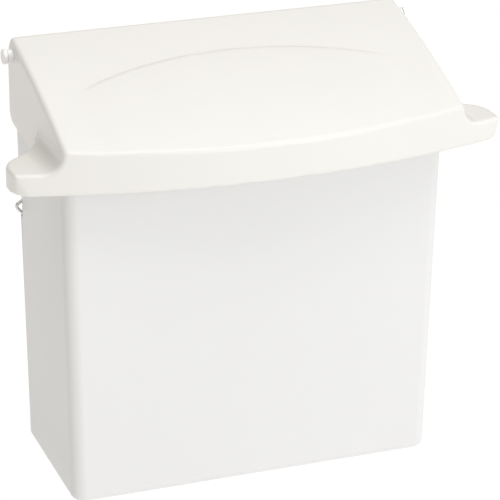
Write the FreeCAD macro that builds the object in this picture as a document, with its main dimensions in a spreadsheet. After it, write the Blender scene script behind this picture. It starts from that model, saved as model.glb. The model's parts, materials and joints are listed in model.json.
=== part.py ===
import FreeCAD, Part
import math
import os
import Sketcher

# A wall-mounted washroom disposal bin of moulded plastic: a tapered container, a hooded lid that
# hinges on two pins at the back, a rigid liner inside, and a wire hanger across the back.
# X runs to the right, -Y to the front, +Z up. The origin is under the middle of the overall box.
# The wall plane is y = wallPlane. All lengths are in millimetres.

driving = {
    # overall box
    "wallPlane": 66.5,
    "lidTop": 273.0,
    "wingReach": 154.0,
    # container
    "baseHalfWidth": 117.2,
    "baseFront": 31.4,
    "sideLean": 0.01728,
    "frontLean": 0.00855,
    "cornerRound": 8.5,
    "bottomRound": 5.0,
    "shellWall": 3.0,
    "innerRoundLoss": 0.6,
    "loftHeight": 276.0,
    "backRecess": 4.0,
    "backBorder": 9.0,
    "backTop": 249.0,
    # wall fixing
    "padRadius": 8.0,
    "screwHole": 2.6,
    "screwPitchWide": 160.0,
    "screwPitchTall": 150.0,
    "screwLow": 62.0,
    "screwDepth": 9.0,
    # hinge
    "hingeBack": 11.0,
    "hingeHeight": 262.8,
    "earRadius": 6.0,
    "earBoss": 4.0,
    "earBossInset": 0.3,
    "sweepEase": 0.6,
    "notchTurn": 66.0,
    "pinRadius": 2.8,
    "pinHeadRadius": 4.7,
    "pinHeadLength": 2.5,
    "pinEdge": 0.5,
    "pinLead": 1.2,
    "pinGap": 0.3,
    "bushRadius": 4.2,
    "bushStep": 0.5,
    "bushProud": 3.4,
    "runningGap": 0.05,
    # lid
    "lidHalfWidth": 125.4,
    "cheekWall": 2.6,
    "lidWall": 3.0,
    "lipHeight": 235.4,
    "skirtBottom": 212.0,
    "bowRadius": 510.0,
    "rearRound": 6.0,
    "cheekFront": 8.0,
    "cheekLow": 213.6,
    "cheekHigh": 218.0,
    "cheekRound": 8.0,
    "lidEase": 0.5,
    "earGap": 0.8,
    "rearFlap": 256.0,
    # wings
    "wingTop": 225.0,
    "wingWall": 2.6,
    "wingFrontRound": 12.0,
    "wingBackRound": 20.0,
    "wingSweepTurn": 54.0,
    "wingSweepReach": 74.6,
    "wingRoot": 6.0,
    "scoopRound": 12.0,
    # liner
    "linerGap": 1.6,
    "linerBackGap": 4.0,
    "linerWall": 2.0,
    "linerRim": 230.0,
    "linerRimTall": 6.0,
    "linerFloat": 0.3,
    "linerFlange": 1.0,
    "linerBaseRound": 4.0,
    "gripHalfWidth": 20.0,
    "gripLow": 204.0,
    "gripHigh": 218.0,
    # wire hanger
    "wireRadius": 1.0,
    "wireApexReach": 124.0,
    "wireApexHeight": 162.0,
    "wireDepth": 1.7,
    "wireShoulderReach": 13.0,
    "wireShoulderHeight": 231.0,
    "wireCrownHeight": 248.0,
    "wireCornerBend": 2.2,
    "wireKneeBend": 2.0,
    "wireShoulderBend": 9.0,
    "wireCrownBend": 8.0,
    "wireKneeReach": 119.8,
    "wireKneeHeight": 157.2,
    "wireFootReach": 104.0,
    "seatGrip": 5.0,
    "seatHalfHeight": 4.0,
    "seatSink": 0.4,
    "wireNotchTop": 168.0,
    # tools
    "cutMargin": 5.0,
    "throughLength": 400.0,
}

doc = FreeCAD.newDocument("disposalBin")
sheet = doc.addObject("Spreadsheet::Sheet", "sizes")
for row, (alias, number) in enumerate(driving.items(), start=1):
    sheet.set(f"A{row}", alias)
    sheet.set(f"B{row}", str(number))
    sheet.setAlias(f"B{row}", alias)
doc.recompute()


class Size:
    """A length with its number and the sheet expression that gives it."""

    def __init__(self, value, text):
        self.value = value
        self.text = text

    def join(self, sign, other, value):
        otherText = other.text if isinstance(other, Size) else repr(float(other))
        return Size(value, f"({self.text} {sign} {otherText})")

    def __add__(self, other):
        return self.join("+", other, self.value + number(other))

    def __sub__(self, other):
        return self.join("-", other, self.value - number(other))

    def __mul__(self, other):
        return self.join("*", other, self.value * number(other))

    def __truediv__(self, other):
        return self.join("/", other, self.value / number(other))

    def __neg__(self):
        return Size(-self.value, f"(0 - {self.text})")


def number(size):
    return size.value if isinstance(size, Size) else float(size)


def size(alias):
    return Size(driving[alias], f"sizes.{alias}")


def fixed(value):
    return Size(float(value), repr(float(value)))


def bind(item, prop, length):
    """Set a property, such as Length or Placement.Base.x, and the expression it follows."""
    item.setExpression(prop, length.text)
    if "." not in prop:
        setattr(item, prop, number(length))


# ---- sketches and features -------------------------------------------------------------------

def addBody(label):
    body = doc.addObject("PartDesign::Body", label)
    body.Label = label
    return body


def originPlane(body, role):
    return [item for item in body.Origin.OriginFeatures if item.Role == role][0]


def addSketch(body, label, role, offset=None):
    sketch = body.newObject("Sketcher::SketchObject", label)
    sketch.AttachmentSupport = [(originPlane(body, role), "")]
    sketch.MapMode = "FlatFace"
    if offset is not None:
        sketch.setExpression("AttachmentOffset.Base.z", offset.text)
    return sketch


def pin(sketch, geometry, point, across, up):
    """Hold one point of a sketch at two distances from the sketch's origin."""
    for kind, length in (("DistanceX", across), ("DistanceY", up)):
        index = sketch.addConstraint(
            Sketcher.Constraint(kind, -1, 1, geometry, point, number(length)))
        sketch.setExpression(f"Constraints[{index}]", length.text)


def outline(sketch, points, bulges=None):
    """A closed outline through the points; bulges maps a side's index to its arc radius.
    A positive radius bows the side out to the right of its direction of travel."""
    bulges = bulges or {}
    count = len(points)
    flat = [FreeCAD.Vector(number(across), number(up), 0) for across, up in points]
    for side in range(count):
        start = flat[side]
        end = flat[(side + 1) % count]
        if side in bulges:
            radius = abs(number(bulges[side]))
            along = (end - start).normalize()
            right = FreeCAD.Vector(along.y, -along.x, 0)
            half = (end - start).Length / 2
            rise = radius - math.sqrt(radius * radius - half * half)
            middle = (start + end) * 0.5 + right * math.copysign(rise, number(bulges[side]))
            sketch.addGeometry(Part.Arc(start, middle, end), False)
        else:
            sketch.addGeometry(Part.LineSegment(start, end), False)
    for side in range(count):
        following = (side + 1) % count
        endPoint = arcEnd(sketch, side, flat[following])
        startPoint = arcEnd(sketch, following, flat[following])
        sketch.addConstraint(
            Sketcher.Constraint("Coincident", side, endPoint, following, startPoint))
    for side in range(count):
        pin(sketch, side, arcEnd(sketch, side, flat[side]), *points[side])
    for side, radius in bulges.items():
        plain = radius if number(radius) > 0 else -radius
        index = sketch.addConstraint(Sketcher.Constraint("Radius", side, number(plain)))
        sketch.setExpression(f"Constraints[{index}]", plain.text)


def arcEnd(sketch, geometry, place):
    """1 where the side's own first point is at the place, else 2: an arc runs anticlockwise."""
    first = sketch.getPoint(geometry, 1)
    return 1 if (first - place).Length < 1e-6 else 2


def circles(sketch, centres, radius):
    for across, up in centres:
        centre = FreeCAD.Vector(number(across), number(up), 0)
        index = sketch.addGeometry(
            Part.Circle(centre, FreeCAD.Vector(0, 0, 1), number(radius)), False)
        pin(sketch, index, 3, across, up)
        bound = sketch.addConstraint(Sketcher.Constraint("Radius", index, number(radius)))
        sketch.setExpression(f"Constraints[{bound}]", radius.text)


def roundedPlan(sketch, half, front, back, radius):
    """A rectangle from -half to half and from front to back with rounded corners."""
    outline(sketch, [
        (-half + radius, front), (half - radius, front), (half, front + radius),
        (half, back - radius), (half - radius, back), (-half + radius, back),
        (-half, back - radius), (-half, front + radius)],
        {1: radius, 3: radius, 5: radius, 7: radius})


def block(body, label, half, front, back, low, high, cornerRound, baseRound, allRound=False):
    """A moulded block from low to high whose sides and front lean outwards going up, with rounded
    front corners, or with allRound all four, and a rounded edge all round its base: the front
    view is padded, then its front is cut."""
    lean = size("sideLean")
    frontLean = size("frontLean")
    tall = high - low
    topHalf = half + lean * tall
    view = addSketch(body, f"{label}FrontView", "XZ_Plane", -back)
    outline(view, [(-half, low), (half, low), (topHalf, high), (-topHalf, high)])
    prism(body, f"{label}Pad", "Pad", view, back - front + frontLean * tall)
    view = addSketch(body, f"{label}SideView", "YZ_Plane")
    over = size("cutMargin")
    past = front - frontLean * tall - over * 2
    outline(view, [(front + frontLean * over, low - over),
                   (front - frontLean * (tall + over), high + over),
                   (past, high + over), (past, low - over)])
    prism(body, f"{label}FrontCut", "Pocket", view, size("throughLength"), middle=True)
    upright = edgesWhere(body.Shape, lambda edge: edge.BoundBox.ZLength > 50
                         and (allRound or edge.CenterOfMass.y < 0))
    rounded(body, f"{label}CornerRounding", upright, cornerRound)
    base = edgesWhere(body.Shape, lambda edge: edge.BoundBox.ZMax < number(low) + 0.01)
    rounded(body, f"{label}BaseRounding", base, baseRound)


def carve(body, tool):
    """Take the tool body out of the body."""
    cut = body.newObject("PartDesign::Boolean", f"{tool.Name}Cut")
    cut.Type = "Cut"
    cut.setObjects([tool])
    body.Tip = cut
    doc.recompute()


def prism(body, label, kind, sketch, length, middle=False, flip=False):
    """A pad or pocket of the sketch, checked to add or remove volume."""
    doc.recompute()
    before = body.Shape.Volume if body.Tip else 0.0
    feature = body.newObject(f"PartDesign::{kind}", label)
    feature.Profile = sketch
    bind(feature, "Length", length)
    feature.Midplane = middle
    feature.Reversed = flip
    body.Tip = feature
    doc.recompute()
    change = feature.Shape.Volume - before
    if (change > 1.0) != (kind == "Pad") or abs(change) < 1.0:
        raise RuntimeError(f"{label} changes the volume by {change:.1f}")
    return feature


def rounded(body, label, edges, radius):
    doc.recompute()
    before = body.Tip
    fillet = body.newObject("PartDesign::Fillet", label)
    fillet.Base = (before, edges)
    bind(fillet, "Radius", radius)
    body.Tip = fillet
    doc.recompute()
    if fillet.Shape.isNull():
        raise RuntimeError(f"{label} can't be rounded")
    return fillet


def edgesWhere(shape, test):
    return [f"Edge{index}" for index, edge in enumerate(shape.Edges, start=1) if test(edge)]


def combine(kind, label, base, tool):
    item = doc.addObject(f"Part::{kind}", label)
    item.Base = base
    item.Tool = tool
    return item


# ---- places shared by several pieces -----------------------------------------------------------

wall = size("wallPlane")
margin = size("cutMargin")
hingeY = wall - size("hingeBack")
hingeZ = size("hingeHeight")


def panelLine():
    """The lid's top line: a point on it, and how much it falls for each millimetre forward.
    It leaves the rear edge's round, whose centre is (rearY, rearZ), at a tangent."""
    rearZ = driving["lidTop"] - driving["rearRound"]
    rearY = rearCentreY()
    frontY = -driving["wallPlane"]
    fall = 0.3
    for _ in range(20):
        turn = math.atan(fall)
        touchY = rearY - driving["rearRound"] * math.sin(turn)
        touchZ = rearZ + driving["rearRound"] * math.cos(turn)
        fall = (touchZ - driving["lipHeight"]) / (touchY - frontY)
    return touchY, touchZ, fall


def rearCentreY():
    """The rear edge's round touches the circle about the hinge that just clears the wall."""
    rise = driving["lidTop"] - driving["rearRound"] - driving["hingeHeight"]
    reach = driving["hingeBack"] - driving["rearRound"]
    return driving["wallPlane"] - driving["hingeBack"] + math.sqrt(reach ** 2 - rise ** 2)


touchY, touchZ, panelFall = panelLine()
panelTurn = math.atan(panelFall)


def panelHeight(y, under=0.0):
    """Height at y of the line that lies the given distance under the lid's top face."""
    return touchZ - panelFall * (touchY - y) - under / math.cos(panelTurn)


# ---- container -----------------------------------------------------------------------------------

def makeContainer():
    body = addBody("container")
    half = size("baseHalfWidth")
    front = -size("baseFront")
    tall = size("loftHeight")
    thick = size("shellWall")
    lean = size("sideLean")
    frontLean = size("frontLean")

    block(body, "container", half, front, wall, fixed(0), tall, size("cornerRound"),
          size("bottomRound"))
    core = addBody("containerCore")
    block(core, "cavity", half + lean * thick - thick, front - frontLean * thick + thick,
          wall - size("backRecess") - thick, thick, tall, size("cornerRound") - thick,
          size("bottomRound") - thick * size("innerRoundLoss"))
    carve(body, core)

    trimContainerTop(body)
    shapeContainerBack(body)
    fitWireSeats(body)
    return body


def trimContainerTop(body):
    """Cut the rim parallel to the closed lid, leaving an ear round each hinge pin."""
    under = driving["lidWall"] + driving["lidEase"]
    frontY = -driving["wallPlane"]
    earTop = driving["earRadius"]
    topY = number(hingeY) - earTop * math.sin(panelTurn)
    topZ = number(hingeZ) + earTop * math.cos(panelTurn)
    rimDrop = panelHeight(topY, under) - topZ
    rear = FreeCAD.Vector(number(hingeY) + earTop, number(hingeZ), 0)
    sketch = addSketch(body, "rimLine", "YZ_Plane")
    outline(sketch, [
        (fixed(frontY), fixed(panelHeight(frontY, under) - max(rimDrop, 0))),
        (fixed(topY), fixed(topZ)),
        (fixed(rear.x), fixed(rear.y)),
        (fixed(rear.x), size("rearFlap") - 1),
        (wall + margin, size("rearFlap") - 1),
        (wall + margin, size("loftHeight") + margin),
        (fixed(frontY), size("loftHeight") + margin)], {1: -size("earRadius")})
    prism(body, "rimCut", "Pocket", sketch, size("throughLength"), middle=True)

    cutSweepNotch(body)
    boss = addSketch(body, "earBossDisc", "YZ_Plane", -earInner())
    circles(boss, [(hingeY, hingeZ)], size("earRadius"))
    prism(body, "leftEarBoss", "Pad", boss, size("earBoss"))
    boss = addSketch(body, "earBossDiscRight", "YZ_Plane", earInner())
    circles(boss, [(hingeY, hingeZ)], size("earRadius"))
    prism(body, "rightEarBoss", "Pad", boss, size("earBoss"), flip=True)

    bore = addSketch(body, "pinBore", "YZ_Plane")
    circles(bore, [(hingeY, hingeZ)], size("pinRadius"))
    prism(body, "pinBores", "Pocket", bore, size("throughLength"), middle=True)


def cutSweepNotch(body):
    """Round the hinge the side walls are cut back to the ear, where the lid's rear edge turns
    past them; the ear stays joined at its front."""
    far = driving["hingeBack"] + driving["sweepEase"]
    near = driving["earRadius"]
    turn = math.radians(driving["notchTurn"])
    low = (-math.cos(turn), -math.sin(turn))
    points = [
        (hingeY + near * low[0], hingeZ + near * low[1]),
        (hingeY + far * low[0], hingeZ + far * low[1]),
        (hingeY + far, hingeZ),
        (hingeY + near, hingeZ)]
    sketch = addSketch(body, "sweepNotchOutline", "YZ_Plane")
    outline(sketch, points, {1: size("hingeBack") + size("sweepEase"), 3: -size("earRadius")})
    prism(body, "sweepNotch", "Pocket", sketch, size("throughLength"), middle=True)


def earInner():
    """Where the ear's inner face is at the hinge: a touch outside the wall's inner face."""
    return size("baseHalfWidth") + size("sideLean") * hingeZ - size("shellWall") + size("earBossInset")


def shapeContainerBack(body):
    """Lower the back between the ears, recess it, and add the four screw pads."""
    clear = size("baseHalfWidth") - size("shellWall") + size("sideLean") * size("backTop")
    middle = addSketch(body, "backMiddle", "XZ_Plane", -wall - 1)
    outline(middle, [
        (-clear, size("backTop")), (clear, size("backTop")),
        (clear, size("loftHeight") + margin), (-clear, size("loftHeight") + margin)])
    prism(body, "backLowering", "Pocket", middle,
          size("backRecess") + size("shellWall") + 3, flip=True)

    edge = size("baseHalfWidth") - size("backBorder") * 0.5
    recess = addSketch(body, "recessOutline", "XZ_Plane", -wall)
    outline(recess, [
        (-edge, size("backBorder")), (edge, size("backBorder")),
        (edge, size("backTop") + margin), (-edge, size("backTop") + margin)])
    prism(body, "rearRecess", "Pocket", recess, size("backRecess"), flip=True)

    wide = size("screwPitchWide") / 2
    low = size("screwLow")
    high = low + size("screwPitchTall")
    places = [(-wide, low), (wide, low), (-wide, high), (wide, high)]
    pads = addSketch(body, "screwPadDiscs", "XZ_Plane", -wall)
    circles(pads, places, size("padRadius"))
    prism(body, "screwPads", "Pad", pads, size("backRecess") + 1)
    holes = addSketch(body, "screwHoleCircles", "XZ_Plane", -wall)
    circles(holes, places, size("screwHole"))
    prism(body, "screwHoles", "Pocket", holes, size("screwDepth"), flip=True)


def fitWireSeats(body):
    """Blocks that grip the hanger's two feet, and a notch in each side wall for its corners."""
    foot = size("wireFootReach")
    height = size("wireKneeHeight")
    for side, label in ((-1, "left"), (1, "right")):
        sketch = addSketch(body, f"{label}SeatOutline", "XZ_Plane", -wall + size("seatSink"))
        near = (foot - 2) * side
        far = (foot + size("seatGrip")) * side
        low, high = (near, far) if side > 0 else (far, near)
        base = height - size("seatHalfHeight")
        top = height + size("seatHalfHeight")
        outline(sketch, [(low, base), (high, base), (high, top), (low, top)])
        prism(body, f"{label}Seat", "Pad", sketch, size("backRecess"))
    notch = addSketch(body, "wireNotchOutline", "YZ_Plane")
    base = height - size("wireRadius") - 1
    top = size("wireNotchTop")
    outline(notch, [
        (wall - size("backRecess"), base), (wall + margin, base), (wall + margin, top),
        (wall - size("backRecess"), top)])
    prism(body, "wireNotches", "Pocket", notch, size("throughLength"), middle=True)


# ---- lid -----------------------------------------------------------------------------------------

def extruded(label, sketch, direction, start, length):
    """The sketch's outline carried along X or Z from start over the length."""
    item = doc.addObject("Part::Extrusion", label)
    item.Base = sketch
    item.DirMode = "Custom"
    item.Dir = direction
    item.Solid = True
    item.LengthFwd = number(length)
    item.setExpression("LengthFwd", length.text)
    item.LengthRev = -number(start)
    item.setExpression("LengthRev", (-start).text)
    return item


alongX = FreeCAD.Vector(1, 0, 0)
alongY = FreeCAD.Vector(0, 1, 0)
alongZ = FreeCAD.Vector(0, 0, 1)


def plainSketch(label, facing=alongZ):
    """A free sketch with axes X and Y, or Y and Z when it faces along X, X and Z along Y."""
    sketch = doc.addObject("Sketcher::SketchObject", label)
    turns = {"X": FreeCAD.Rotation(FreeCAD.Vector(1, 1, 1), 120),
             "Y": FreeCAD.Rotation(alongX, 90)}
    if facing != alongZ:
        turn = turns["X" if facing == alongX else "Y"]
        sketch.Placement = FreeCAD.Placement(FreeCAD.Vector(0, 0, 0), turn)
    return sketch


def lidSideOutline(label, inset, bottom):
    """The lid seen from its side, drawn in by the inset; the inner one runs down past the rim."""
    sketch = plainSketch(label, alongX)
    frontY = -driving["wallPlane"] + inset
    backY = driving["wallPlane"] - inset
    rearRound = driving["rearRound"] - inset
    rearY = rearCentreY()
    rearZ = driving["lidTop"] - driving["rearRound"]
    clearRadius = driving["hingeBack"] - inset
    hinge = (number(hingeY), number(hingeZ))
    turn = math.atan2(rearZ - hinge[1], rearY - hinge[0])
    meet = (rearY + rearRound * math.cos(turn), rearZ + rearRound * math.sin(turn))
    touch = (rearY - rearRound * math.sin(panelTurn), rearZ + rearRound * math.cos(panelTurn))
    lip = (frontY, panelHeight(frontY, inset))
    if bottom is None:
        cheekRound = driving["cheekRound"]
        lower = [(frontY, driving["skirtBottom"]), (0.0, driving["skirtBottom"]),
                 (driving["cheekFront"], driving["cheekLow"]), (backY - cheekRound, driving["cheekHigh"]),
                 (backY, driving["cheekHigh"] + cheekRound)]
    else:
        lower = [(frontY, bottom), (backY, bottom)]
    points = lower + [(backY, hinge[1]), meet, touch, lip]
    first = len(lower)
    bulges = {first: fixed(clearRadius), first + 1: fixed(rearRound)}
    if bottom is None:
        bulges[first - 2] = size("cheekRound")
    outline(sketch, [(fixed(y), fixed(z)) for y, z in points], bulges)
    return sketch


def bowedPlan(label, half, inset, back):
    """A plan with straight sides and back and a bowed front, drawn in by the inset."""
    sketch = plainSketch(label)
    radius = size("bowRadius") - inset
    reach = number(radius) ** 2 - number(half) ** 2
    cornerY = -driving["wallPlane"] + driving["bowRadius"] - math.sqrt(reach)
    outline(sketch, [(-half, fixed(cornerY)), (half, fixed(cornerY)), (half, back),
                     (-half, back)], {0: radius})
    return sketch


def wingPlan(label, side, inset):
    """One wing from above, drawn in by the inset: its front follows the lid's bow, its end is
    flat with a small round in front and a larger one behind, and its back sweeps to the cheek."""
    sketch = plainSketch(label)
    reach = driving["wingReach"] - inset
    inner = driving["lidHalfWidth"] - driving["wingRoot"]
    radius = driving["bowRadius"] - inset
    centreY = -driving["wallPlane"] + driving["bowRadius"]
    tip = driving["wingFrontRound"] - inset
    tipX = reach - tip
    tipY = centreY - math.sqrt((radius - tip) ** 2 - tipX ** 2)
    bowTurn = math.atan2(tipX, centreY - tipY)
    back = driving["wingBackRound"] - inset
    backX = reach - back
    sweep = math.radians(driving["wingSweepTurn"])
    sweepReach = driving["wingSweepReach"] - inset
    backY = (sweepReach - back - backX * math.cos(sweep)) / math.sin(sweep)
    points = [
        (inner, centreY - math.sqrt(radius ** 2 - inner ** 2)),
        (tipX + tip * math.sin(bowTurn), tipY - tip * math.cos(bowTurn)),
        (reach, tipY),
        (reach, backY),
        (backX + back * math.cos(sweep), backY + back * math.sin(sweep)),
        (inner, (sweepReach - inner * math.cos(sweep)) / math.sin(sweep))]
    bulges = {0: fixed(radius), 1: fixed(tip), 3: fixed(back)}
    if side < 0:
        points = [(-x, y) for x, y in reversed(points)]
        bulges = {4: fixed(radius), 3: fixed(tip), 1: fixed(back)}
    outline(sketch, [(fixed(x), fixed(y)) for x, y in points], bulges)
    return sketch


def makeWing(side, label):
    """A wing whose top curves up into the cheek: its plan carried up past the curve, kept where
    its front view with the hollow round also reaches."""
    blank = extruded(f"{label}WingBlank", wingPlan(f"{label}WingPlan", side, 0.0), alongZ,
                     size("skirtBottom"), size("wingTop") + size("scoopRound"))
    cheek = size("lidHalfWidth")
    inner = cheek - size("wingRoot")
    reach = size("wingReach") + margin
    low = size("skirtBottom") - margin
    level = size("wingTop")
    points = [
        (inner, low), (reach, low), (reach, level), (cheek + size("scoopRound"), level),
        (cheek, level + size("scoopRound")), (inner, level + size("scoopRound"))]
    bulges = {3: -size("scoopRound")}
    if side < 0:
        points = [(-x, z) for x, z in reversed(points)]
        bulges = {1: -size("scoopRound")}
    view = plainSketch(f"{label}WingView", alongY)
    outline(view, points, bulges)
    return combine("Common", f"{label}Wing", blank,
                   extruded(f"{label}WingSweep", view, alongY, -wall - margin, wall))


def makeLid():
    half = size("lidHalfWidth")
    thick = size("lidWall")
    profile = lidSideOutline("lidOutline", 0.0, None)
    plan = bowedPlan("lidPlan", half, fixed(0), wall + margin)
    hood = doc.addObject("Part::Common", "lidHood")
    hood.Base = extruded("lidBlock", profile, alongX, -half, half)
    hood.Tool = extruded("lidBow", plan, alongZ,
                         size("skirtBottom") - margin, size("lidTop") + margin)

    solid = hood
    for side, label in ((-1, "left"), (1, "right")):
        solid = combine("Fuse", f"{label}WingJoin", solid, makeWing(side, label))

    innerHalf = half - size("cheekWall")
    voidBase = driving["skirtBottom"] - driving["cutMargin"]
    void = doc.addObject("Part::Common", "lidVoid")
    void.Base = extruded("voidBlock", lidSideOutline("voidOutline", driving["lidWall"], voidBase),
                         alongX, -innerHalf, innerHalf)
    void.Tool = extruded("voidBow", bowedPlan("voidPlan", innerHalf, thick, wall + margin), alongZ,
                         size("skirtBottom") - margin * 2, size("lidTop") + margin)
    solid = combine("Cut", "lidShell", solid, void)

    for side, label in ((-1, "left"), (1, "right")):
        hollow = extruded(f"{label}WingHollow",
                          wingPlan(f"{label}HollowPlan", side, driving["wingWall"]), alongZ,
                          size("skirtBottom") - margin, size("wingTop") - size("wingWall"))
        solid = combine("Cut", f"{label}WingShell", solid, hollow)

    solid = trimRearFlap(solid)
    bores = plainSketch("bushBoreCircle", alongX)
    circles(bores, [(hingeY, hingeZ)], size("bushRadius") - size("bushStep"))
    solid = combine("Cut", "lid", solid,
                    extruded("bushBores", bores, alongX, -size("wingReach"), size("wingReach")))
    solid.Label = "lid"
    return solid


def trimRearFlap(solid):
    """The rear flap ends above the container's back and stops short of the ears."""
    ears = size("baseHalfWidth") + size("sideLean") * hingeZ - size("shellWall") - size("earBoss")
    flapHalf = ears - size("earGap")
    inner = size("lidHalfWidth") - size("cheekWall")
    behind = size("hingeBack") + margin
    base = size("skirtBottom") - margin * 4
    solid = combine("Cut", "flapTrim", solid,
                    box("underFlap", -inner, hingeY, base, inner * 2, behind,
                        size("rearFlap") - base))
    for start, label in ((-inner, "left"), (flapHalf, "right")):
        solid = combine("Cut", f"{label}EarTrim", solid,
                        box(f"{label}EarSlot", start, hingeY, base, inner - flapHalf, behind,
                            hingeZ + 1 - base))
    return solid


def box(label, left, front, low, wide, deep, tall):
    """A plain box from its lowest corner and its three sizes."""
    item = doc.addObject("Part::Box", label)
    bind(item, "Length", wide)
    bind(item, "Width", deep)
    bind(item, "Height", tall)
    bind(item, "Placement.Base.x", left)
    bind(item, "Placement.Base.y", front)
    bind(item, "Placement.Base.z", low)
    return item


# ---- hinge pins and bushes -------------------------------------------------------------------------

def turned(label, ring, side):
    """A turned piece on the hinge line; the ring lists (outward along X, radius)."""
    body = addBody(label)
    sketch = addSketch(body, f"{label}Section", "XY_Plane")
    points = [(out * side, radius) for out, radius in ring]
    outline(sketch, points if side > 0 else list(reversed(points)))
    spin = body.newObject("PartDesign::Revolution", f"{label}Turning")
    spin.Profile = sketch
    spin.ReferenceAxis = (sketch, ["H_Axis"])
    spin.Angle = 360
    body.Tip = spin
    bind(body, "Placement.Base.y", hingeY)
    bind(body, "Placement.Base.z", hingeZ)
    return body


def makeHinge(side, label):
    """A headed pin pressed into the ear, and the bush in the cheek that turns on it."""
    outside = size("lidHalfWidth")
    earFace = size("baseHalfWidth") + size("sideLean") * hingeZ - size("shellWall")
    bushEnd = outside + size("bushProud")
    neck = bushEnd + size("pinGap")
    end = neck + size("pinHeadLength")
    edge = size("pinEdge")
    tail = earFace - size("earBoss")
    shank = size("pinRadius")
    head = size("pinHeadRadius")
    pinBody = turned(f"hinge_pin_{label}", [
        (tail - size("pinLead"), fixed(0)), (end, fixed(0)), (end, head - edge),
        (end - edge, head), (neck, head), (neck, shank), (tail, shank),
        (tail - size("pinLead"), shank - edge)], side)

    bore = shank + size("runningGap")
    inside = outside - size("cheekWall")
    seat = size("bushRadius") - size("bushStep")
    bush = turned(f"hinge_bush_{label}", [
        (inside, bore), (bushEnd, bore), (bushEnd, size("bushRadius")),
        (outside, size("bushRadius")), (outside, seat), (inside, seat)], side)
    return [pinBody, bush]


# ---- liner -----------------------------------------------------------------------------------------

def makeLiner():
    body = addBody("liner")
    gap = size("linerGap") + size("shellWall")
    thick = size("linerWall")
    floor = size("shellWall") + size("linerFloat")
    top = size("linerRim")
    back = wall - size("backRecess") - size("shellWall") - size("linerBackGap")
    radius = size("cornerRound") - size("shellWall")

    half = size("baseHalfWidth") + size("sideLean") * floor - gap
    front = -size("baseFront") - size("frontLean") * floor + gap
    block(body, "liner", half, front, back, floor, top, radius, size("linerBaseRound"),
          allRound=True)

    flange = addSketch(body, "linerFlangePlan", "XY_Plane", top - size("linerRimTall"))
    rise = top - floor
    spread = size("linerFlange")
    roundedPlan(flange, half + size("sideLean") * rise + spread,
                front - size("frontLean") * rise - spread, back + spread, radius + spread)
    prism(body, "linerFlangePad", "Pad", flange, size("linerRimTall"))

    core = addBody("linerCore")
    block(core, "linerHollow", half + size("sideLean") * thick - thick,
          front - size("frontLean") * thick + thick, back - thick, floor + thick, top + margin,
          radius - thick, size("linerBaseRound") - thick * size("innerRoundLoss"), allRound=True)
    carve(body, core)

    grip = addSketch(body, "gripSlots", "YZ_Plane")
    middle = (back - size("baseFront")) / 2
    near = middle - size("gripHalfWidth")
    far = middle + size("gripHalfWidth")
    outline(grip, [(near, size("gripLow")), (far, size("gripLow")), (far, size("gripHigh")),
                   (near, size("gripHigh"))])
    prism(body, "gripOpenings", "Pocket", grip, size("throughLength"), middle=True)
    return body


# ---- wire hanger -----------------------------------------------------------------------------------

def makeHangerWire():
    """One bent wire flat behind the bin: two feet, two sharp corners at the sides, and a raised
    arch in the middle that hangs on a wall hook."""
    body = addBody("hanger_wire")
    depth = wall - size("wireDepth")
    path = addSketch(body, "wirePath", "XZ_Plane", -depth)
    foot = FreeCAD.Vector(driving["wireFootReach"], driving["wireKneeHeight"], 0)
    knee = FreeCAD.Vector(driving["wireKneeReach"], driving["wireKneeHeight"], 0)
    apex = FreeCAD.Vector(driving["wireApexReach"], driving["wireApexHeight"], 0)
    shoulder = FreeCAD.Vector(driving["wireShoulderReach"], driving["wireShoulderHeight"], 0)
    crown = FreeCAD.Vector(0, driving["wireCrownHeight"], 0)
    mirror = [FreeCAD.Vector(-point.x, point.y, 0) for point in (shoulder, apex, knee, foot)]
    corners = [foot, knee, apex, shoulder, crown] + mirror
    sideBends = [driving[f"wire{place}Bend"] for place in ("Knee", "Corner", "Shoulder")]
    bends = sideBends + [driving["wireCrownBend"]] + sideBends[::-1]
    start = corners[0]
    for index, bend in enumerate(bends, start=1):
        corner = corners[index]
        into = (corner - corners[index - 1]).normalize()
        out = (corners[index + 1] - corner).normalize()
        half = into.getAngle(out) / 2
        cut = bend * math.tan(half)
        first = corner - into * cut
        last = corner + out * cut
        towards = (out - into).normalize()
        middle = corner + towards * (bend / math.cos(half) - bend)
        path.addGeometry(Part.LineSegment(start, first), False)
        path.addGeometry(Part.Arc(first, middle, last), False)
        start = last
    path.addGeometry(Part.LineSegment(start, corners[-1]), False)
    joinEnds(path)
    doc.recompute()

    section = body.newObject("Sketcher::SketchObject", "wireSection")
    section.AttachmentSupport = [(path, "Edge1")]
    section.MapMode = "NormalToEdge"
    section.MapPathParameter = 0.0
    circles(section, [(fixed(0), fixed(0))], size("wireRadius"))
    pipe = body.newObject("PartDesign::AdditivePipe", "wirePipe")
    pipe.Profile = section
    pipe.Spine = (path, [f"Edge{index}" for index in range(1, path.GeometryCount + 1)])
    body.Tip = pipe
    return body


def joinEnds(path):
    """Fix every piece of the path where it was drawn."""
    for index in range(path.GeometryCount):
        path.addConstraint(Sketcher.Constraint("Block", index))


# ---- build and write -----------------------------------------------------------------------------

pieces = [makeContainer(), makeLid()]
pieces += makeHinge(-1, "left")
pieces += makeHinge(1, "right")
pieces += [makeLiner(), makeHangerWire()]
doc.recompute()

for item in doc.Objects:
    if "Invalid" in item.State or "Error" in item.State:
        raise RuntimeError(f"{item.Name} failed: {item.State}")
for piece in pieces:
    if piece.Shape.isNull() or not piece.Shape.isValid():
        raise RuntimeError(f"{piece.Label} has no valid shape")

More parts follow.
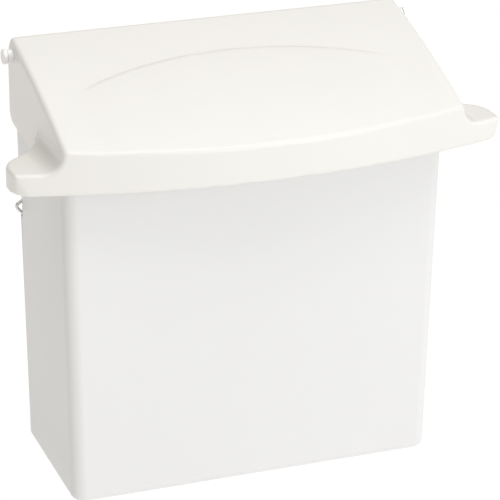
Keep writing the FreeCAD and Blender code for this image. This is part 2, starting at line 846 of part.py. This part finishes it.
os.makedirs("parts", exist_ok=True)
for piece in pieces:
    piece.Shape.exportStep(f"parts/{piece.Label}.step")
    box = piece.Shape.BoundBox
    print(f"{piece.Label}: {len(piece.Shape.Solids)} solid, {piece.Shape.Volume / 1000:.1f} cm3,"
          f" x {box.XMin:.1f} {box.XMax:.1f}, y {box.YMin:.1f} {box.YMax:.1f},"
          f" z {box.ZMin:.1f} {box.ZMax:.1f}")
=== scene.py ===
import json
import math

import bmesh
import bpy
import numpy as np
from mathutils import Matrix, Vector


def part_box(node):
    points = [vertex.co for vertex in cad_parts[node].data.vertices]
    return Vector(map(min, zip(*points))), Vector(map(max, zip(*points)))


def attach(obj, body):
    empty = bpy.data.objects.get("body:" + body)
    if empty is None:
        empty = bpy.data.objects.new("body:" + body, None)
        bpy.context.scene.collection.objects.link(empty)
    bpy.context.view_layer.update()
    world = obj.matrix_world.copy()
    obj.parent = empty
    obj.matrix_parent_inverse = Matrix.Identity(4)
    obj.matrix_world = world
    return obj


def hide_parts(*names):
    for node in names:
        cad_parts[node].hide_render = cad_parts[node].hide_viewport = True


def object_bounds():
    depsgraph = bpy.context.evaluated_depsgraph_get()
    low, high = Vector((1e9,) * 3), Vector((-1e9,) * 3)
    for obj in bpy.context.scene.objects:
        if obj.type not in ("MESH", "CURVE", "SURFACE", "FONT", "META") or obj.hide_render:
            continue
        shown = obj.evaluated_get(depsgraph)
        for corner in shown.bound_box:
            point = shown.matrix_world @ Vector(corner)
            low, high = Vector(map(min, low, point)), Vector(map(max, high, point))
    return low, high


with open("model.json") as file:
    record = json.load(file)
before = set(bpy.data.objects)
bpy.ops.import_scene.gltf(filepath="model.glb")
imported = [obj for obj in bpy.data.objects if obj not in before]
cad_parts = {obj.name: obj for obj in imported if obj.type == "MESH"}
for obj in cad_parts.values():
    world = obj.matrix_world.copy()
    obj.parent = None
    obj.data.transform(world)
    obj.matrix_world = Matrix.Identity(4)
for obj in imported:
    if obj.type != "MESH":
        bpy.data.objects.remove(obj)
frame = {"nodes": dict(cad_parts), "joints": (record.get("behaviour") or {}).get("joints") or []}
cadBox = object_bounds()
mm = 0.001


# places that several pieces share, read from the frame, in millimetres

def nodeBox(node):
    low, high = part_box(node)
    return np.array(low) / mm, np.array(high) / mm


lidHinge = next(joint for joint in frame["joints"] if joint["name"] == "lid_hinge")
hingeY, hingeZ = (part / mm for part in lidHinge["pos_m"][1:])
lidLow, lidHigh = nodeBox("lid")
wallY = lidHigh[1]
print("frame loaded")


# shader maths: a socket that takes part in Python expressions

class Wire:
    def __init__(self, recipe, socket):
        self.recipe = recipe
        self.socket = socket

    def maths(self, operation, first, second):
        return self.recipe.add("ShaderNodeMath", {"operation": operation}, {0: first, 1: second})

    def __add__(self, other):
        return self.maths("ADD", self, other)

    def __radd__(self, other):
        return self.maths("ADD", other, self)

    def __sub__(self, other):
        return self.maths("SUBTRACT", self, other)

    def __mul__(self, other):
        return self.maths("MULTIPLY", self, other)


# the node tree of a material or a world; add makes one node and gives back its live output

class Recipe:
    def __init__(self, owner):
        owner.use_nodes = True
        self.owner = owner
        self.tree = owner.node_tree
        self.tree.nodes.clear()

    def add(self, kind, settings, inputs, output=None):
        node = self.tree.nodes.new(kind)
        for name, value in settings.items():
            if name == "stops":
                self.setStops(node.color_ramp, value)
            else:
                setattr(node, name, value)
        for name, value in inputs.items():
            socket = node.inputs[name]
            if isinstance(value, Wire):
                self.tree.links.new(value.socket, socket)
            else:
                socket.default_value = value
        if not node.outputs:
            return node
        live = [socket for socket in node.outputs if socket.enabled]
        return Wire(self, node.outputs[output] if output else live[0])

    def setStops(self, ramp, stops):
        while len(ramp.elements) < len(stops):
            ramp.elements.new(0.5)
        for element, (place, level) in zip(ramp.elements, stops):
            element.position = place
            element.color = (level, level, level, 1)

    def noise(self, scale, detail, stretch=(1, 1, 1), roughness=0.5):
        place = self.add("ShaderNodeTexCoord", {}, {}, "Object")
        place = self.add("ShaderNodeMapping", {}, {"Vector": place, "Scale": stretch})
        return self.add("ShaderNodeTexNoise", {}, {
            "Vector": place, "Scale": scale, "Detail": detail, "Roughness": roughness})

    def blend(self, factor, first, second):
        node = self.tree.nodes.new("ShaderNodeMix")
        node.data_type = "RGBA"
        for socket, value in ((node.inputs[0], factor), (node.inputs[6], first),
                              (node.inputs[7], second)):
            if isinstance(value, Wire):
                self.tree.links.new(value.socket, socket)
            else:
                socket.default_value = value
        return Wire(self, node.outputs[2])

    def finish(self, inputs):
        shader = self.add("ShaderNodeBsdfPrincipled", {}, inputs)
        self.add("ShaderNodeOutputMaterial", {}, {"Surface": shader})
        return self.owner


def newRecipe(name):
    return Recipe(bpy.data.materials.new(name))


def shade(colour, factor):
    return tuple(min(1.0, part * factor) for part in colour) + (1,)


# injection-moulded plastic: slow drifts of tone, a fine sparked grain in the bump, and a few long
# faint rubs that are a little lighter and duller

def mouldedPlastic(name, look):
    recipe = newRecipe(name)
    drift = recipe.noise(look["driftScale"], 3.0)
    grain = recipe.noise(look["grainScale"], 2.0)
    pits = recipe.noise(look["grainScale"] * 3.1, 1.0)
    rubs = recipe.noise(look["rubScale"], 4.0, (1, 0.12, 1), 0.62)
    rubMask = recipe.add("ShaderNodeValToRGB", {"stops": [(0.56, 0.0), (0.7, 1.0)]}, {"Fac": rubs})
    tone = recipe.blend(drift, shade(look["colour"], look["low"]), shade(look["colour"], look["high"]))
    speckled = recipe.blend(pits * look["speckle"], tone, shade(look["colour"], 0.93))
    coated = recipe.blend(rubMask * look["rub"], speckled, shade(look["colour"], 1.06))
    roughness = look["roughness"] + (grain - 0.5) * 0.10 + rubMask * 0.06
    height = grain * 0.7 + pits * 0.3
    bump = recipe.add("ShaderNodeBump", {}, {
        "Strength": look["bump"], "Distance": look["grainDepth"], "Height": height})
    return recipe.finish({
        "Base Color": coated, "Roughness": roughness, "Normal": bump,
        "IOR": 1.49, "Specular IOR Level": look["specular"]})


# zinc-plated wire: draw marks along it, dull patches and small dark spots

def drawnSteel(name, look):
    recipe = newRecipe(name)
    marks = recipe.noise(look["markScale"], 3.0, (0.15, 1, 0.6))
    patches = recipe.noise(look["patchScale"], 4.0)
    spots = recipe.noise(look["spotScale"], 2.0)
    spotMask = recipe.add("ShaderNodeValToRGB", {"stops": [(0.62, 0.0), (0.72, 1.0)]}, {"Fac": spots})
    tone = recipe.blend(patches, shade(look["colour"], 0.86), shade(look["colour"], 1.1))
    stained = recipe.blend(spotMask * 0.45, tone, shade(look["colour"], 0.4))
    roughness = look["roughness"] + (patches - 0.5) * 0.2 + spotMask * 0.2
    bump = recipe.add("ShaderNodeBump", {}, {
        "Strength": 0.25, "Distance": 0.00005, "Height": marks})
    return recipe.finish({
        "Base Color": stained, "Metallic": 1.0, "Roughness": roughness, "Normal": bump})


# arrays of points in millimetres and of faces become a mesh object

def makeMesh(name, points, faces, material, angle=None):
    mesh = bpy.data.meshes.new(name)
    points = np.asarray(points, float) * mm
    faces = np.asarray(faces, np.int32)
    sides = faces.shape[1]
    mesh.vertices.add(len(points))
    mesh.vertices.foreach_set("co", points.ravel())
    mesh.loops.add(faces.size)
    mesh.loops.foreach_set("vertex_index", faces.ravel())
    mesh.polygons.add(len(faces))
    mesh.polygons.foreach_set("loop_start", np.arange(len(faces), dtype=np.int32) * sides)
    mesh.update(calc_edges=True)
    mesh.validate()
    mesh.polygons.foreach_set("use_smooth", np.ones(len(mesh.polygons), bool))
    mesh.update()
    if angle:
        mesh.set_sharp_from_angle(angle=math.radians(angle))
    mesh.materials.append(material)
    piece = bpy.data.objects.new(name, mesh)
    bpy.context.scene.collection.objects.link(piece)
    return piece


# a piece rides on its body and takes the place of its design node

def hold(piece, body, node):
    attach(piece, body)
    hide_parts(node)
    print(f"{piece.name}: {len(piece.data.polygons)} faces")


# Two solids cut by each other, with their shared edge rounded: the larger of the two distances,
# and in the wedge past both drawn-in faces the distance from the arc's centre less its radius.
# lean is the cosine between the faces' normals.

def roundedMax(first, second, radius, lean=0.0):
    u = first + radius
    v = second + radius
    span = np.sqrt(np.maximum((u * u + v * v - 2 * lean * u * v) / (1 - lean * lean), 0))
    wedge = (u > lean * v) & (v > lean * u)
    return np.where(wedge, span - radius, np.maximum(first, second))


# two solids joined: the smaller distance, with the hollow corner between them filled by an arc

def roundedMin(first, second, radius):
    outside = np.maximum(np.minimum(first, second), radius)
    return outside - np.hypot(np.maximum(radius - first, 0), np.maximum(radius - second, 0))


# The surface where a distance field is zero. Every cell that the surface passes through gets one
# point, the mean of the places where its edges cross zero, and every lattice edge that crosses
# zero gets the face of its four cells. The points then slide down the field's slope until they
# lie on the surface.

def fieldSurface(field, low, high, step):
    axes = [np.arange(a, b + step, step) for a, b in zip(low, high)]
    grid = np.stack(np.meshgrid(*axes, indexing="ij"), -1)
    value = field(grid)
    inside = value < 0
    cells = tuple(length - 1 for length in value.shape)
    total = np.zeros(cells + (3,))
    count = np.zeros(cells)
    crossings = []
    for axis in range(3):
        near = [slice(None)] * 3
        far = [slice(None)] * 3
        near[axis] = slice(0, -1)
        far[axis] = slice(1, None)
        near, far = tuple(near), tuple(far)
        crosses = inside[near] != inside[far]
        share = value[near] / np.where(crosses, value[near] - value[far], 1.0)
        place = grid[near] + (grid[far] - grid[near]) * share[..., None]
        place = np.where(crosses[..., None], place, 0.0)
        others = [other for other in range(3) if other != axis]
        for shiftA in (0, 1):
            for shiftB in (0, 1):
                window = [slice(None)] * 3
                for other, shift in zip(others, (shiftA, shiftB)):
                    window[other] = slice(shift, shift + cells[other])
                total += place[tuple(window)]
                count += crosses[tuple(window)]
        crossings.append((axis, others, crosses, inside[near]))
    live = count > 0
    number = np.full(cells, -1, np.int64)
    number[live] = np.arange(live.sum())
    points = total[live] / count[live][:, None]
    faces = []
    for axis, (first, second), crosses, nearInside in crossings:
        at = np.argwhere(crosses)
        at = at[(at[:, first] > 0) & (at[:, second] > 0)]
        at = at[(at[:, first] < cells[first]) & (at[:, second] < cells[second])]
        ring = []
        for backFirst, backSecond in ((1, 1), (0, 1), (0, 0), (1, 0)):
            cell = at.copy()
            cell[:, first] -= backFirst
            cell[:, second] -= backSecond
            ring.append(number[tuple(cell.T)])
        ring = np.stack(ring, 1)
        forward = nearInside[tuple(at.T)] ^ (axis == 1)
        faces.append(np.where(forward[:, None], ring, ring[:, ::-1]))
    reach = step / 25                             # how far each side the slope is measured
    for _ in range(4):
        here = field(points)
        slope = np.stack([field(points + offset) - field(points - offset)
                          for offset in np.eye(3) * reach], -1) / (2 * reach)
        size = np.maximum((slope ** 2).sum(-1), 0.2)
        points = points - np.clip(here / size, -step / 2, step / 2)[:, None] * slope
    return points, np.concatenate(faces)


# a profile of (distance along X, radius) turned about the hinge line: the ring at each point of
# the profile is its radius times the cosine and the sine of the turn

def lathe(profile, side, turns=64):
    profile = np.asarray(profile, float)
    angle = np.linspace(0, 2 * np.pi, turns, endpoint=False)
    x = np.repeat(profile[:, 0] * side, turns)
    y = hingeY + np.outer(profile[:, 1], np.cos(angle)).ravel()
    z = hingeZ + np.outer(profile[:, 1], np.sin(angle)).ravel()
    points = np.stack([x, y, z], 1)
    row, column = np.meshgrid(np.arange(len(profile) - 1), np.arange(turns), indexing="ij")
    following = (column + 1) % turns
    faces = np.stack([row * turns + column, row * turns + following,
                      (row + 1) * turns + following, (row + 1) * turns + column], -1).reshape(-1, 4)
    if side < 0:
        faces = faces[:, ::-1]
    return points, faces


# the lid, in millimetres

lid = {
    "halfWidth": 125.4,
    "lipY": -50.3,             # the panel's side edge starts here and flattens going back
    "lipZ": 238.4,
    "lipRise": 0.405,
    "flatten": 0.0017,
    "edgeSpan": (-20.0, 130.0),       # how far from the lip the parabola is followed
    "crown": 2.4,
    "crownReach": 34.0,
    "bowRadius": 510.0,
    "rearRound": 3.0,
    "edgeRound": 3.2,
    "lowEdgeRound": 0.8,       # the same edge well below the panel
    "edgeFadeDepth": 14.0,     # the round changes over this band under the panel
    "edgeFadeBand": 8.0,
    "lipRound": 2.6,
    "lipFade": 6.0,            # how far inside the cheek the lip's slant begins
    "cheekLine": (8.0, 213.6, 58.5, 218.0),     # the cheek's rim: Y and Z in front, then behind
    "cheekRound": 8.0,
    "wingTop": 225.0,
    "wingBack": 74.6,          # how far the wing's back edge is from the middle, along its slant
    "wingBackTurn": 54.0,
    "tipTurn": -1.0,           # degrees, about a point on the flat end
    "tipMiddle": -31.0,
    "tipLean": 0.5,            # cosine between the flat end's normal and the front's
    "tipBackRound": 20.0,
    "tipFrontRound": (5.0, 24.0),     # at the wing's top and at its rim
    "scoop": 12.0,
    "wall": 2.6,
    "rimRound": 0.8,
    "flapZ": 256.0,            # lower edge of the flap at the back
    "earInside": 113.9,
    "earGap": 1.0,
    "arcTopY": 22.2,
    "arcRadius": 218.0,
    "arcHalf": 82.0,
    "arcStep": 0.9,
    "arcFade": 0.25,           # share of the arc's half length over which each end fades
    "arcWidth": 1.2,
    "cellSize": 1.25,
    "gridMargin": 2.3,
}


# height of the panel's side edge: the lip's rise times the distance from the lip, less half the
# flattening times that distance squared

def edgeHeight(y):
    over = np.clip(y - lid["lipY"], *lid["edgeSpan"])
    return lid["lipZ"] + lid["lipRise"] * over - lid["flatten"] * over ** 2 / 2


# In front of a wide arc the panel swells above its side edge: a small step up at the arc, then a
# crown that grows with the distance from the arc and falls with the square of X.

def panelHeight(x, y):
    fromArc = lid["arcRadius"] - np.hypot(x, y - (lid["arcTopY"] - lid["arcRadius"]))
    fade = np.clip((1 - np.abs(x) / lid["arcHalf"]) / lid["arcFade"] + 1, 0, 1)
    step = lid["arcStep"] * fade * np.clip(fromArc / lid["arcWidth"] + 0.5, 0, 1)
    swell = 1 - np.exp(-np.maximum(fromArc, 0) / lid["crownReach"])
    return edgeHeight(y) + step + lid["crown"] * swell * (1 - (x / lid["halfWidth"]) ** 2)


# The cosine between the panel's normal and that of the round back where they meet: the back is
# an arc about the hinge that just clears the wall.

def rearLean():
    reach = wallY - hingeY
    y = np.linspace(hingeY, wallY, 1101)
    height = edgeHeight(y) - hingeZ
    meeting = np.argmax(np.hypot(y - hingeY, height) > reach)
    slope = lid["lipRise"] - lid["flatten"] * (y[meeting] - lid["lipY"])
    return (height[meeting] - slope * (y[meeting] - hingeY)) / (reach * math.hypot(slope, 1))


# Outer skin of the lid without its lower rim. Two solids, the hood and the wings, are joined by a
# hollow arc, and the bowed front cuts both with one rounded edge.

def lidShell(x, y, z):
    bowY = lid["bowRadius"] - wallY
    front = np.hypot(x, y - bowY) - lid["bowRadius"]
    turn = math.atan(lid["lipRise"] + lid["flatten"] * lid["lipY"])
    panel = (z - panelHeight(x, y)) * math.cos(turn)
    back = np.hypot(np.maximum(y - hingeY, 0), np.maximum(z - hingeZ, 0)) - (wallY - hingeY)
    roof = roundedMax(panel, back, lid["rearRound"], rearLean())
    cheek = x - lid["halfWidth"]
    nearPanel = np.clip((lid["edgeFadeDepth"] + panel) / lid["edgeFadeBand"], 0, 1)
    edgeRound = lid["lowEdgeRound"] + (lid["edgeRound"] - lid["lowEdgeRound"]) * nearPanel
    hood = roundedMax(roof, cheek, edgeRound)
    slant = math.radians(lid["wingBackTurn"])
    wingRear = x * math.cos(slant) + y * math.sin(slant) - lid["wingBack"]
    tipTurn = math.radians(lid["tipTurn"])
    tip = ((x - lidHigh[0]) * math.cos(tipTurn)
           + (y - lid["tipMiddle"]) * math.sin(tipTurn))
    tip = roundedMax(tip, wingRear, lid["tipBackRound"], math.cos(slant - tipTurn))
    wing = roundedMax(tip, z - lid["wingTop"], lid["lipRound"])
    body = roundedMin(hood, wing, lid["scoop"])
    deep = np.clip((lid["wingTop"] - z) / (lid["wingTop"] - lidLow[2]), 0, 1)
    highRound, lowRound = lid["tipFrontRound"]
    cornerRound = highRound + (lowRound - highRound) * deep
    nearTip = np.where(x > lid["halfWidth"], tip, -2 * lowRound)
    outline = roundedMax(nearTip, front, cornerRound, lid["tipLean"])
    lean = math.sin(turn) * np.clip((lid["halfWidth"] - x) / lid["lipFade"], 0, 1)
    return roundedMax(body, outline, lid["lipRound"], lean)


# the lid's solid: the skin less the same skin drawn in by the wall, cut along the rim, and opened
# under the rear flap, round the ears and for the bushes

def lidField(grid):
    x, y, z = np.abs(grid[..., 0]), grid[..., 1], grid[..., 2]
    skin = lidShell(x, y, z)
    foreY, foreZ, rearY, rearZ = lid["cheekLine"]
    rise = (rearZ - foreZ) / (rearY - foreY)
    cheekRim = (foreZ + rise * (y - foreY)) - z
    rim = np.maximum(lidLow[2] - z, roundedMax(cheekRim, y - wallY, lid["cheekRound"]))
    solid = roundedMax(skin, rim, lid["rimRound"])
    inner = lid["halfWidth"] - lid["wall"]
    shell = roundedMax(solid, -(skin + lid["wall"]), lid["rimRound"] / 2)
    under = np.maximum(np.maximum(x - inner, hingeY - y), z - lid["flapZ"])
    ears = np.maximum(np.maximum(x - inner, lid["earInside"] - x),
                      np.maximum(hingeY - y, z - hingeZ - lid["earGap"]))
    bore = np.hypot(y - hingeY, z - hingeZ) - bushSeat
    return np.maximum(shell, -np.minimum(np.minimum(under, ears), bore))


def makeLid(material):
    margin = lid["gridMargin"]
    points, faces = fieldSurface(lidField, lidLow - margin, lidHigh + margin, lid["cellSize"])
    piece = makeMesh("lidHood", points, faces, material, 50)
    hold(piece, "lid", "lid")


# a copy of a design mesh with its loose triangles joined and its rounds shaded smooth

def joined(name, node, material, angle):
    mesh = frame["nodes"][node].data.copy()
    mesh.name = name
    work = bmesh.new()
    work.from_mesh(mesh)
    bmesh.ops.remove_doubles(work, verts=work.verts, dist=0.000002)
    work.to_mesh(mesh)
    work.free()
    mesh.polygons.foreach_set("use_smooth", np.ones(len(mesh.polygons), bool))
    mesh.set_sharp_from_angle(angle=math.radians(angle))
    mesh.materials.clear()
    mesh.materials.append(material)
    piece = bpy.data.objects.new(name, mesh)
    bpy.context.scene.collection.objects.link(piece)
    level = piece.modifiers.new("flatFacesKeepTheirNormals", "WEIGHTED_NORMAL")
    level.keep_sharp = True
    level.weight = 100
    return piece


# hinge pins and bushes, in millimetres; where they start and end comes from the frame

hinge = {
    "pinRadius": 2.8,
    "pinLead": 1.2,
    "headLength": 2.5,
    "headDish": 0.25,
    "headRim": 1.4,
    "bore": 2.85,
    "bushStep": 0.5,           # how much the bush narrows where it sits in the cheek
    "edge": 0.5,
}
bushLow, bushHigh = nodeBox("hinge_bush_right")
pinLow, pinHigh = nodeBox("hinge_pin_right")
bushRadius = (bushHigh[2] - bushLow[2]) / 2
headRadius = (pinHigh[2] - pinLow[2]) / 2
bushSeat = bushRadius - hinge["bushStep"]


# points of an arc about the centre, from one angle to another in degrees

def arcCorner(centre, radius, start, end, steps=6):
    turn = np.radians(np.linspace(start, end, steps))
    return list(zip(centre[0] + radius * np.cos(turn), centre[1] + radius * np.sin(turn)))


# the pin has a tapered lead and a dished head; the bush is narrower where it sits in the cheek

def makeHinge(side, name, material):
    edge = hinge["edge"]
    axis = 0.0001                                 # as near the axis as the faces may come
    start, end = pinLow[0], pinHigh[0]
    neck = end - hinge["headLength"]
    shank = hinge["pinRadius"]
    rim = headRadius - hinge["headRim"]
    dish = hinge["headDish"]
    profile = [(start, axis), (start, shank - edge), (start + hinge["pinLead"], shank),
               (neck, shank)]
    profile += arcCorner((neck + edge / 2, headRadius - edge / 2), edge / 2, 180, 90)
    profile += arcCorner((end - edge, headRadius - edge), edge, 90, 0)
    profile += [(end, rim), (end - dish, rim - dish), (end - dish, axis)]
    points, faces = lathe(profile, side)
    hold(makeMesh(f"pin_{name}", points, faces, material, 40), "container",
         f"hinge_pin_{name}")
    inside, outside, cheek = bushLow[0], bushHigh[0], lid["halfWidth"]
    profile = [(inside, hinge["bore"]), (inside, bushSeat), (cheek, bushSeat),
               (cheek, bushRadius)]
    profile += arcCorner((outside - edge, bushRadius - edge), edge, 90, 0)
    profile += [(outside, hinge["bore"]), (inside, hinge["bore"])]
    points, faces = lathe(profile, side)
    hold(makeMesh(f"bush_{name}", points, faces, material, 40), "lid",
         f"hinge_bush_{name}")


# finishes

looks = {
    "lid": {
        "colour": (0.79, 0.777, 0.747), "low": 0.985, "high": 1.012, "roughness": 0.30,
        "specular": 0.5, "driftScale": 14.0, "grainScale": 900.0, "grainDepth": 0.00012,
        "bump": 0.18, "speckle": 0.10, "rubScale": 30.0, "rub": 0.10,
    },
    "container": {
        "colour": (0.772, 0.772, 0.768), "low": 0.985, "high": 1.01, "roughness": 0.36,
        "specular": 0.5, "driftScale": 9.0, "grainScale": 1300.0, "grainDepth": 0.00006,
        "bump": 0.12, "speckle": 0.06, "rubScale": 22.0, "rub": 0.10,
    },
    "liner": {
        "colour": (0.52, 0.54, 0.55), "low": 0.96, "high": 1.03, "roughness": 0.5,
        "specular": 0.45, "driftScale": 16.0, "grainScale": 700.0, "grainDepth": 0.0001,
        "bump": 0.25, "speckle": 0.15, "rubScale": 26.0, "rub": 0.2,
    },
    "nylon": {
        "colour": (0.88, 0.88, 0.88), "low": 0.97, "high": 1.02, "roughness": 0.3,
        "specular": 0.55, "driftScale": 60.0, "grainScale": 1500.0, "grainDepth": 0.00004,
        "bump": 0.12, "speckle": 0.08, "rubScale": 90.0, "rub": 0.1,
    },
    "wire": {
        "colour": (0.74, 0.74, 0.75), "roughness": 0.48,
        "markScale": 900.0, "patchScale": 120.0, "spotScale": 420.0,
    },
}

lidPlastic = mouldedPlastic("lidPlastic", looks["lid"])
containerPlastic = mouldedPlastic("containerPlastic", looks["container"])
linerPlastic = mouldedPlastic("linerPlastic", looks["liner"])
nylon = mouldedPlastic("naturalNylon", looks["nylon"])
wireSteel = drawnSteel("wireSteel", looks["wire"])
print("materials made")

makeLid(lidPlastic)
for side, name in ((-1, "left"), (1, "right")):
    makeHinge(side, name, nylon)
hold(joined("containerShell", "container", containerPlastic, 40), "container", "container")
hold(joined("linerBucket", "liner", linerPlastic, 40), "liner", "liner")
hold(joined("hangerWire", "hanger_wire", wireSteel, 50), "container", "hanger_wire")
print("pieces made")


# floor, light and camera

stageLook = {
    "floorReach": 30.0,        # in metres
    "floorDrop": 0.05,         # in millimetres, so that the base doesn't share the floor's plane
    "floorTone": 0.03,
    "floorGlow": 0.99,
    "skyAxis": (0.25, -0.12, 0.60),
    "skyLevel": 0.17,
    "skyDim": (0.05, 0.03, 0.0),
    "skyBright": (1.12, 1.12, 1.12),
    "lamps": {
        # name: (place, aim, width, height, power, colour), in metres and watts
        "topSoftbox": ((0.0, -0.3, 2.2), (0, 0, 0.2), 2.0, 2.0, 20.5, (1.0, 0.99, 0.975)),
        "frontSoftbox": ((0.5, -1.35, 0.4), (0, 0, 0.12), 0.8, 0.8, 6.6, (0.94, 0.975, 1.0)),
    },
}


def makeFloor():
    reach = stageLook["floorReach"]
    recipe = newRecipe("paleFloor")
    drift = recipe.noise(0.6, 2.0)
    tone = recipe.blend(drift, shade((stageLook["floorTone"],) * 3, 0.99),
                        shade((stageLook["floorTone"],) * 3, 1.01))
    material = recipe.finish({
        "Base Color": tone, "Roughness": 0.8, "Specular IOR Level": 0.0,
        "Emission Color": (1.03, 1.01, 0.99, 1), "Emission Strength": stageLook["floorGlow"]})
    corners = np.array([(-1, -1, 0), (1, -1, 0), (1, 1, 0), (-1, 1, 0)]) * reach / mm
    corners[:, 2] = -stageLook["floorDrop"]
    makeMesh("floor", corners, [(0, 1, 2, 3)], material)


def makeLamps():
    for name, (place, aim, width, height, power, colour) in stageLook["lamps"].items():
        lamp = bpy.data.lights.new(name, "AREA")
        lamp.shape = "RECTANGLE"
        lamp.size = width
        lamp.size_y = height
        lamp.energy = power
        lamp.color = colour
        item = bpy.data.objects.new(name, lamp)
        item.location = place
        item.rotation_euler = (Vector(aim) - Vector(place)).to_track_quat("-Z", "Y").to_euler()
        bpy.context.scene.collection.objects.link(item)
    world = bpy.data.worlds.new("studio")
    sky = Recipe(world)
    place = sky.add("ShaderNodeTexCoord", {}, {}, "Generated")
    across = sky.add("ShaderNodeVectorMath", {"operation": "DOT_PRODUCT"},
                     {0: place, 1: stageLook["skyAxis"]}, "Value")
    share = sky.add("ShaderNodeMath", {"operation": "ADD", "use_clamp": True},
                    {0: across, 1: stageLook["skyLevel"]})
    tone = sky.blend(share, stageLook["skyDim"] + (1,), stageLook["skyBright"] + (1,))
    light = sky.add("ShaderNodeBackground", {}, {"Color": tone})
    sky.add("ShaderNodeOutputWorld", {}, {"Surface": light})
    bpy.context.scene.world = world
    bpy.context.scene.view_settings.view_transform = "Standard"


cameraLook = {
    "azimuth": 20.51,      # degrees to the left of the front
    "elevation": 22.93,
    "roll": 0.58,
    "distance": 1.5712,
    "aimRight": 0.00733,   # from the middle of the bin
    "aimUp": 0.14011,      # above its base
    "lens": 183.4,
}


# the camera looks back along the line from the aim, tipped about it by the roll

def makeCamera():
    turn = math.radians(cameraLook["azimuth"])
    tilt = math.radians(cameraLook["elevation"])
    roll = math.radians(cameraLook["roll"])
    back = Vector((-math.sin(turn) * math.cos(tilt), -math.cos(turn) * math.cos(tilt), math.sin(tilt)))
    right = (-back).cross(Vector((0, 0, 1))).normalized()
    up = right.cross(-back)
    rolledRight = right * math.cos(roll) + up * math.sin(roll)
    rolledUp = up * math.cos(roll) - right * math.sin(roll)
    low, high = cadBox
    aim = Vector(((low[0] + high[0]) / 2 + cameraLook["aimRight"], (low[1] + high[1]) / 2,
                  low[2] + cameraLook["aimUp"]))
    data = bpy.data.cameras.new("viewpoint")
    data.lens = cameraLook["lens"]
    data.sensor_width = 36.0
    data.clip_end = 100.0
    item = bpy.data.objects.new("viewpoint", data)
    turned = Matrix((rolledRight, rolledUp, back)).transposed().to_4x4()
    item.matrix_world = Matrix.Translation(aim + back * cameraLook["distance"]) @ turned
    bpy.context.scene.collection.objects.link(item)
    bpy.context.scene.camera = item


makeFloor()
makeLamps()
makeCamera()
print("stage made")
